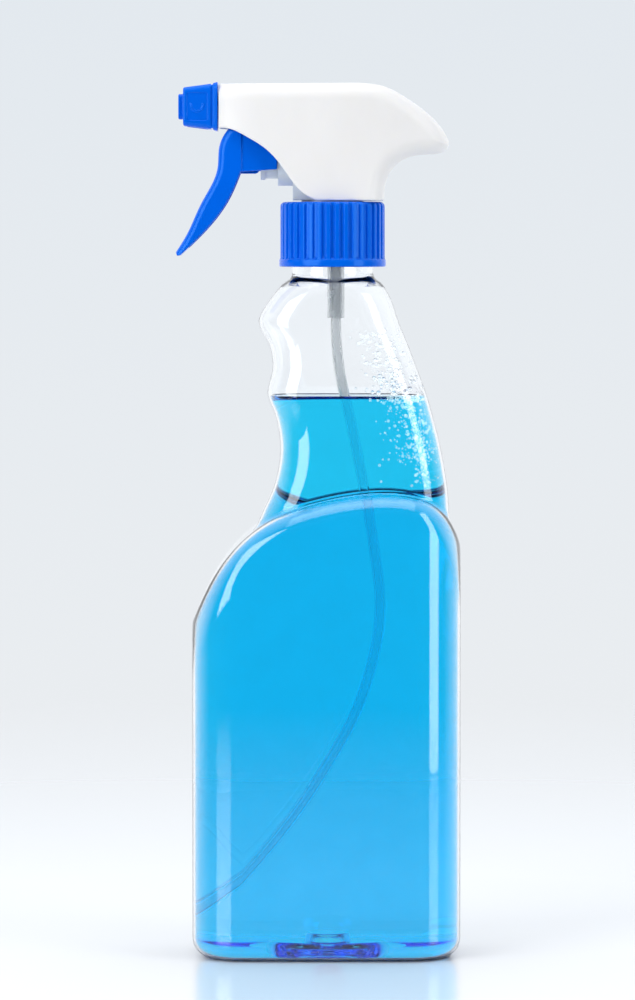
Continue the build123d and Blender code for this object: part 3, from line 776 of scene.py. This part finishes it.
# The space behind the lever's front face, closed far above, behind and below it.
BEHIND_START = [(-22.0, 268.0)]
BEHIND_END = [(-45.5, 213.0), (5.0, 200.0), (5.0, 268.0)]
LEVER_HEIGHTS = (216.5, 238.0)
LEVER_HALF_WIDTHS = (6.6, 8.25)
LEVER_FRONT_EDGE = 2.3
LEVER_SIDE_EDGE = 0.6
LEVER_SKIN = 1.9
CHANNEL_SIDE = 1.3
CHANNEL_HALF_WIDTH = 7.3
CHANNEL_FOOT = 219.5
EARS_FRONT, EARS_FOOT = -28.0, 256.5
WEB_FRONT, WEB_FOOT = -23.3, 240.0
WEB_INSIDE = 7.72
WEB_EDGE, HOLLOW_EDGE = 0.25, 0.35
PIVOT_ROOM = 4.6
PIN_RADIUS = 1.6
PIN_INSIDE, PIN_OUTSIDE = 5.4, 7.5
NOSE = (-19.35, 243.6)
NOSE_RADIUS = 1.5
PUSHER_HALF_WIDTH = 2.6
PUSHER_ROOT = -29.6


def trigger_distance(x, y, z):
    """The finger lever: a channel open at the back, with pivot pins and a pusher."""
    px, pz = x[:, 0, :], z[:, 0, :]
    outline = np.concatenate([LEVER_FRONT, LEVER_TIP, LEVER_BACK, CHEEK_BACK, LEVER_CROWN])
    side = outline_distance(px, pz, outline)[:, None, :]
    behind = np.concatenate([BEHIND_START, LEVER_FRONT, BEHIND_END])
    front = outline_distance(px, pz, behind)[:, None, :]
    half = np.interp(z, LEVER_HEIGHTS, LEVER_HALF_WIDTHS)
    width = np.abs(y) - half
    solid = np.maximum(round_meet(front, width, LEVER_FRONT_EDGE),
                       round_meet(side, width, LEVER_SIDE_EDGE))
    web = np.maximum(np.maximum(WEB_FRONT - x, WEB_INSIDE - np.abs(y)), WEB_FOOT - z)
    solid = round_meet(solid, -web, WEB_EDGE)
    room = np.minimum(CHANNEL_HALF_WIDTH, half - CHANNEL_SIDE)
    channel = np.maximum(np.maximum(front + LEVER_SKIN, np.abs(y) - room), CHANNEL_FOOT - z)
    within = np.abs(y) - CHANNEL_HALF_WIDTH
    ears = np.maximum(np.maximum(EARS_FRONT - x, within), EARS_FOOT - z)
    pivot = np.hypot(x - PIVOT[0], z - PIVOT[1])
    around_pivot = np.maximum(pivot - PIVOT_ROOM, within)
    hollow = np.minimum(np.minimum(channel, ears), around_pivot)
    solid = round_meet(solid, -hollow, HOLLOW_EDGE)
    pins = np.maximum(pivot - PIN_RADIUS,
                      np.maximum(np.abs(y) - PIN_OUTSIDE, PIN_INSIDE - np.abs(y)))
    nose = np.hypot(np.maximum(x - NOSE[0], 0), z - NOSE[1]) - NOSE_RADIUS
    pusher = np.maximum(np.maximum(nose, np.abs(y) - PUSHER_HALF_WIDTH), PUSHER_ROOT - x)
    return np.minimum(solid, np.minimum(pins, pusher))


carve("trigger_lever_smooth", "trigger", 0.2, trigger_distance, "trigger_lever",
      blue_plastic)

OUTLET = 262.7
CAP_FRONT, CAP_BACK = -41.4, -31.0
CAP_HALF_SIZES = (5.9, 7.1)
FLANGE_FRONT, FLANGE_BACK = -32.1, -30.7
FLANGE_HALF_SIZES = (7.25, 7.55)
GROOVE_X, GROOVE_DEPTH, GROOVE_HALF_WIDTH = -32.5, 0.35, 0.3
FACE_BOSS_FRONT, FACE_BOSS_ROOT = -42.9, -41.0
FACE_BOSS_HALF_SIZE = 3.9
PANEL_X, PANEL_DEPTH = -37.0, 0.28
PANEL_HALF_LENGTH, PANEL_HALF_WIDTH, PANEL_CORNER = 3.2, 4.3, 0.8
ARC_RADIUS, ARC_HALF_WIDTH = 1.9, 0.28
SOCKET_RADIUS, SOCKET_END = 4.25, -38.8
ORIFICE_RADIUS = 0.4
DISH_RADIUS, DISH_FLOOR = 1.5, -41.7


def square_bar(x, y, up, half_size, corner, front, back, edge):
    """A rounded square bar along x, its ends' edges rounded too."""
    return round_meet(rounded_box(y, up, half_size, half_size, corner),
                      np.maximum(front - x, x - back), edge)


def nozzle_distance(x, y, z):
    """The square nozzle cap: flange, tapered body with sunk panels, boss and orifice."""
    up = z - OUTLET
    size = np.interp(x, [CAP_FRONT, FLANGE_FRONT], CAP_HALF_SIZES)
    body = square_bar(x, y, up, size, 1.7, CAP_FRONT, CAP_BACK, 0.5)
    flange_size = np.interp(x, [FLANGE_FRONT, FLANGE_BACK], FLANGE_HALF_SIZES)
    flange = square_bar(x, y, up, flange_size, 1.9, FLANGE_FRONT, FLANGE_BACK, 0.25)
    boss = square_bar(x, y, up, FACE_BOSS_HALF_SIZE, 1.4, FACE_BOSS_FRONT, FACE_BOSS_ROOT, 0.35)
    cap = np.minimum(round_join(body, boss, 0.3), flange)
    groove = np.maximum(size - GROOVE_DEPTH - np.maximum(np.abs(y), np.abs(up)),
                        np.abs(x - GROOVE_X) - GROOVE_HALF_WIDTH)
    cap = np.maximum(cap, -groove)
    for across, along in ((y, up), (up, y)):
        panel = rounded_box(x - PANEL_X, along, PANEL_HALF_LENGTH, PANEL_HALF_WIDTH, PANEL_CORNER)
        panel = np.maximum(panel, size - PANEL_DEPTH - np.abs(across))
        cap = np.maximum(cap, -panel)
    reach = np.hypot(x - PANEL_X, up - 0.4)
    arc = np.maximum(np.abs(reach - ARC_RADIUS) - ARC_HALF_WIDTH, up - 0.9)
    mark = np.maximum(arc, np.abs(y) - (size - 0.08))
    cap = np.minimum(cap, np.maximum(mark, 5.0 - np.abs(y)))
    radius = np.hypot(y, up)
    cap = np.maximum(cap, -np.maximum(radius - SOCKET_RADIUS, SOCKET_END - x))
    cap = np.maximum(cap, ORIFICE_RADIUS - radius)
    return np.maximum(cap, -np.maximum(radius - DISH_RADIUS, x - DISH_FLOOR))


carve("nozzle_cap_smooth", "nozzle_cap", 0.14, nozzle_distance, "nozzle",
      blue_plastic)


RIBS = 36
POINTS_PER_RIB = 20
RIB_DEPTH = 0.85
COLLAR_BORE = 14.3
COLLAR_THREAD_DEPTH = 1.25
FOOT_EDGE = 0.5
TOP_EDGE = 1.4
RIB_INSET = 0.35


def collar_profile(low, high):
    """Radius, height and share of the rib's depth, down the outside and back up the bore."""
    bottom, top = low[2], high[2]
    full = (high[0] - low[0]) / 2
    bend = np.linspace(0, math.pi / 2, 7)
    foot_x, foot_z = full - FOOT_EDGE, bottom + FOOT_EDGE
    brow_x, brow_z = full - RIB_INSET - TOP_EDGE, top - TOP_EDGE
    outer = [(foot_x + FOOT_EDGE * math.sin(a), foot_z - FOOT_EDGE * math.cos(a), 0.0)
             for a in bend]
    outer += [(full, bottom + 1.2, 0.0), (full, bottom + 2.1, 0.0)]
    outer += [(full - 0.12, bottom + 2.3, 0.1), (full - 0.3, bottom + 2.5, 0.5)]
    outer += [(full - RIB_INSET, z, 1.0) for z in np.linspace(bottom + 2.9, top - 1.6, 12)]
    outer += [(brow_x + TOP_EDGE * math.cos(a), brow_z + TOP_EDGE * math.sin(a), math.cos(a))
              for a in bend]
    outer += [(12.5, top, 0.0), (10.5, top, 0.0), (10.3, top - 0.2, 0.0), (10.3, top - 1.4, 0.0),
              (COLLAR_BORE, top - 1.4, 0.0)]
    inner = [(COLLAR_BORE, z, 0.0) for z in np.arange(top - 1.6, bottom + 0.4, -0.25)]
    return outer + inner + [(COLLAR_BORE + 0.1, bottom + 0.3, 0.0), (14.7, bottom, 0.0)]


def collar_ridge(angles, z):
    """The bore's thread at one height, from 0 to 1."""
    ridge = np.zeros(len(angles))
    for lap in range(2):
        turn = angles / (2 * math.pi) + lap
        centre = THREAD_START + THREAD_PITCH * (turn - 0.5)
        fade = smooth_step(0.25, 0.31, turn) * (1 - smooth_step(1.19, 1.25, turn))
        ridge = np.maximum(ridge, fade * (1 - smooth_step(0.4, 0.9, np.abs(z - centre))))
    return ridge


def make_collar():
    """The screw collar: a plain foot band, rounded ribs and a threaded bore."""
    angles = np.arange(RIBS * POINTS_PER_RIB) / (RIBS * POINTS_PER_RIB) * 2 * math.pi
    wave = 0.5 + 0.5 * np.cos(angles * RIBS)
    valley = RIB_DEPTH * smooth_step(0.3, 0.8, wave)
    rings = []
    for radius, z, depth in collar_profile(*box_mm("screw_collar")):
        r = radius - depth * valley
        if radius == COLLAR_BORE:
            r = r - COLLAR_THREAD_DEPTH * collar_ridge(angles, z)
        rings.append(np.stack([NECK_X + r * np.cos(angles), r * np.sin(angles),
                               np.full(len(angles), z)], 1))
    skin = loop_grid(rings, closed_ends=(False, False), wrap=True)
    keep_corners(new_piece("screw_collar_ribbed", skin, "collar", blue_plastic,
                           ["screw_collar"]))


make_collar()


POINTS_PER_TURN = 28
WIRE_SIDES = 10


def coil_spring(name, node, mean_radius, wire_radius, turns):
    """A compression spring with closed end turns."""
    low, high = box_mm(node)
    start, end = low[0] + wire_radius, high[0] - wire_radius
    centre_z = (low[2] + high[2]) / 2
    closed = 2.1 * wire_radius
    knots = [0, 1, turns - 1, turns]
    reach = [start, start + closed, end - closed, end]
    around = np.linspace(0, turns, turns * POINTS_PER_TURN + 1)
    advance = np.interp(around, knots, reach)
    angle = 2 * math.pi * around
    out = np.stack([np.zeros(len(angle)), np.cos(angle), np.sin(angle)], 1)
    spine = mean_radius * out
    spine[:, 0] = advance
    spine[:, 2] += centre_z
    run = np.gradient(spine, axis=0)
    run /= np.linalg.norm(run, axis=1)[:, None]
    beside = np.cross(run, out)
    wire = np.linspace(0, 2 * math.pi, WIRE_SIDES, endpoint=False)
    rings = spine[:, None, :] + wire_radius * (
        np.cos(wire)[None, :, None] * out[:, None, :]
        + np.sin(wire)[None, :, None] * beside[:, None, :]
    )
    piece = new_piece(name, loop_grid(rings), "sprayer_head", spring_steel, [node])
    keep_corners(piece)
    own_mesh(piece)


coil_spring("return_spring_coil", "return_spring", 2.75, 0.4, 9)
coil_spring("outlet_spring_coil", "outlet_valve_spring", 1.5, 0.2, 5)

# --- Camera, floor and light ---------------------------------------------------------
EYE_HEIGHT = 0.2187
VIEW_DISTANCE = 1.5
VIEW_MIDDLE = 0.1412
FIELD_HEIGHT = 0.31
SENSOR = 36.0

tilt = math.atan2(EYE_HEIGHT - VIEW_MIDDLE, VIEW_DISTANCE)
camera_data = bpy.data.cameras.new("camera")
camera_data.sensor_width = SENSOR
camera_data.lens = SENSOR * VIEW_DISTANCE / FIELD_HEIGHT / math.cos(tilt)
camera = bpy.data.objects.new("camera", camera_data)
camera.location = (0, -VIEW_DISTANCE, EYE_HEIGHT)
camera.rotation_euler = (math.radians(90) - tilt, 0, 0)
bpy.context.scene.collection.objects.link(camera)
bpy.context.scene.camera = camera


FLOOR_RADIUS = 1.2
FLOOR_FADE = (0.2, 0.85)
FLOOR_POINTS = 96


def make_floor():
    """A pale glossy table top that fades into the plain surroundings."""
    rings = []
    turn = np.arange(FLOOR_POINTS) / FLOOR_POINTS * 2 * math.pi
    for radius in np.r_[0.001, np.linspace(0.05, FLOOR_RADIUS, 24)]:
        rings.append(np.stack([radius * np.cos(turn), radius * np.sin(turn), 0 * turn], 1))
    vertices, faces = loop_grid(rings, closed_ends=(True, False))
    mesh = bpy.data.meshes.new("floor")
    mesh.from_pydata(vertices.tolist(), [], faces)
    floor = bpy.data.objects.new("floor", mesh)
    bpy.context.scene.collection.objects.link(floor)
    shader = Shader("floor_pale")
    shader.set(Roughness=0.16, IOR=1.4, Base_Color=(0.82, 0.84, 0.86, 1))
    clear = shader.node("ShaderNodeBsdfTransparent")
    mix = shader.node("ShaderNodeMixShader")
    place = shader.node("ShaderNodeTexCoord")
    length = shader.node("ShaderNodeVectorMath", operation="LENGTH")
    shader.link(place.outputs["Object"], length.inputs[0])
    fade = shader.ramp(length.outputs["Value"], 0.0, 1.0, FLOOR_FADE)
    shader.link(fade, mix.inputs["Fac"])
    shader.link(shader.surface.outputs["BSDF"], mix.inputs[1])
    shader.link(clear.outputs["BSDF"], mix.inputs[2])
    shader.link(mix.outputs["Shader"], shader.output.inputs["Surface"])
    mesh.materials.append(shader.material)


def soft_box(name, place, target, size, power, colour=(1, 1, 1)):
    """A rectangular studio light aimed at a point."""
    light = bpy.data.lights.new(name, "AREA")
    light.shape = "RECTANGLE"
    light.size, light.size_y = size
    light.energy = power
    light.color = colour
    lamp = bpy.data.objects.new(name, light)
    lamp.location = place
    aim = Vector(target) - Vector(place)
    lamp.rotation_euler = aim.to_track_quat("-Z", "Y").to_euler()
    lamp.visible_camera = False
    bpy.context.scene.collection.objects.link(lamp)


# What lights the object, from behind the camera (0) to behind the object and overhead (1).
WORLD_GLOW = [(0.02, (0.06, 0.065, 0.07)), (0.5, (0.10, 0.12, 0.16)),
              (0.68, (0.70, 0.75, 0.82)), (0.84, (1.0, 1.03, 1.07))]
# What the camera sees behind the object, from below (0) to above (1).
WORLD_SEEN = [(0.44, (0.83, 0.855, 0.88)), (0.54, (0.76, 0.81, 0.86))]
OVERHEAD = 0.75


def make_world():
    """Plain pale surroundings: bright behind the object, dark behind the camera."""
    world = bpy.data.worlds.new("studio")
    bpy.context.scene.world = world
    world.use_nodes = True
    tree = world.node_tree
    tree.nodes.clear()

    def maths(operation, *values):
        made = tree.nodes.new("ShaderNodeMath")
        made.operation = operation
        for socket, value in zip(made.inputs, values):
            if isinstance(value, float):
                socket.default_value = value
            else:
                tree.links.new(value, socket)
        return made.outputs[0]

    def background(value, stops):
        made = tree.nodes.new("ShaderNodeBackground")
        from_0_to_1 = maths("MULTIPLY_ADD", value, 0.5, 0.5)
        tree.links.new(colour_ramp(tree, from_0_to_1, stops), made.inputs["Color"])
        return made.outputs[0]

    place = tree.nodes.new("ShaderNodeTexCoord")
    split = tree.nodes.new("ShaderNodeSeparateXYZ")
    tree.links.new(place.outputs["Generated"], split.inputs[0])
    ahead, up = split.outputs["Y"], split.outputs["Z"]
    bright = maths("MULTIPLY_ADD", maths("ABSOLUTE", up), OVERHEAD, ahead)
    path = tree.nodes.new("ShaderNodeLightPath")
    mix = tree.nodes.new("ShaderNodeMixShader")
    tree.links.new(path.outputs["Is Camera Ray"], mix.inputs["Fac"])
    tree.links.new(background(bright, WORLD_GLOW), mix.inputs[1])
    tree.links.new(background(up, WORLD_SEEN), mix.inputs[2])
    out = tree.nodes.new("ShaderNodeOutputWorld")
    tree.links.new(mix.outputs[0], out.inputs["Surface"])


make_floor()
make_world()
LOOK_AT = (0.0, 0.0, 0.15)
soft_box("left_softbox", (-0.80, -0.75, 0.50), LOOK_AT, (0.75, 1.0), 9.5)
soft_box("right_softbox", (0.90, -0.55, 0.42), LOOK_AT, (0.45, 1.0), 5.0)
soft_box("top_softbox", (0.0, -0.25, 1.1), LOOK_AT, (0.9, 0.9), 3.2)

# Light crosses the bottle's and the liquid's skins many times, so it needs many bounces.
CLEAR_BOUNCES = 40
scene = bpy.context.scene
scene.view_settings.view_transform = "Standard"
scene.cycles.max_bounces = CLEAR_BOUNCES
scene.cycles.transmission_bounces = CLEAR_BOUNCES
scene.cycles.transparent_max_bounces = 16


# --- CAD pieces that stay ---------------------------------------------------------------
FINISHES = {
    "dip_tube": dip_tube_milky, "tube_retainer": retainer_milky, "pump_housing": natural_pp,
    "channel_plug": natural_pp, "piston": natural_pp, "swirl_core": natural_pp,
    "piston_front_seal": seal_plastic, "piston_rear_seal": seal_plastic,
    "outlet_valve": seal_plastic, "nozzle_seal": seal_plastic, "neck_gasket": gasket_foam,
    "inlet_ball": ball_steel,
}
for node_name, finish in FINISHES.items():
    mesh = nodes[node_name].data
    mesh.materials.clear()
    mesh.materials.append(finish)
